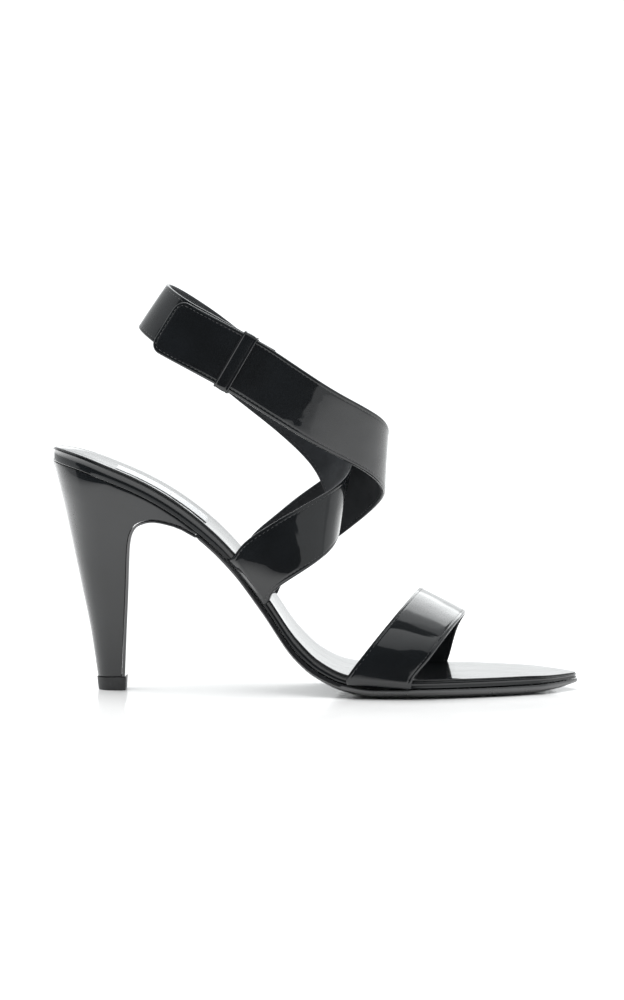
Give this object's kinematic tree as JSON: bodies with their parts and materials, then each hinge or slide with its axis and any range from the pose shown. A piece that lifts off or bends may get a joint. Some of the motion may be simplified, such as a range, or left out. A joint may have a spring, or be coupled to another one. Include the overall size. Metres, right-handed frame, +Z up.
{
  "type": "high-heeled open-toe sandal",
  "caption": "Open-toe patent sandal with a tall tapered heel, a toe strap and crossing ankle straps that fasten at the outer side; right shoe",
  "frame": {"origin": "middle of the bounding box in X and Y, on the floor the shoe stands on", "axes": "+X from heel to toe, +Y towards the shoe's inner side, +Z up"},
  "size_m": [0.215, 0.0824, 0.1662],
  "materials": {
    "patent": "black patent leather, mirror gloss",
    "sole_leather": "black leather sole, satin, faintly scuffed",
    "top_piece_rubber": "matt black rubber",
    "sock_patent": "black glossy lining leather",
    "label_face": "pale silver-grey film, satin, bare"
  },
  "bodies": {
    "root": {"outsole": "sole_leather", "heel": "patent", "heel_top_piece": "top_piece_rubber", "insole": "patent", "sock_lining": "sock_patent", "sock_label": "label_face", "toe_strap": "patent", "ankle_strap_inner": "patent", "ankle_strap_outer": "patent", "keeper_loop": "patent"}
  },
  "joints": []
}
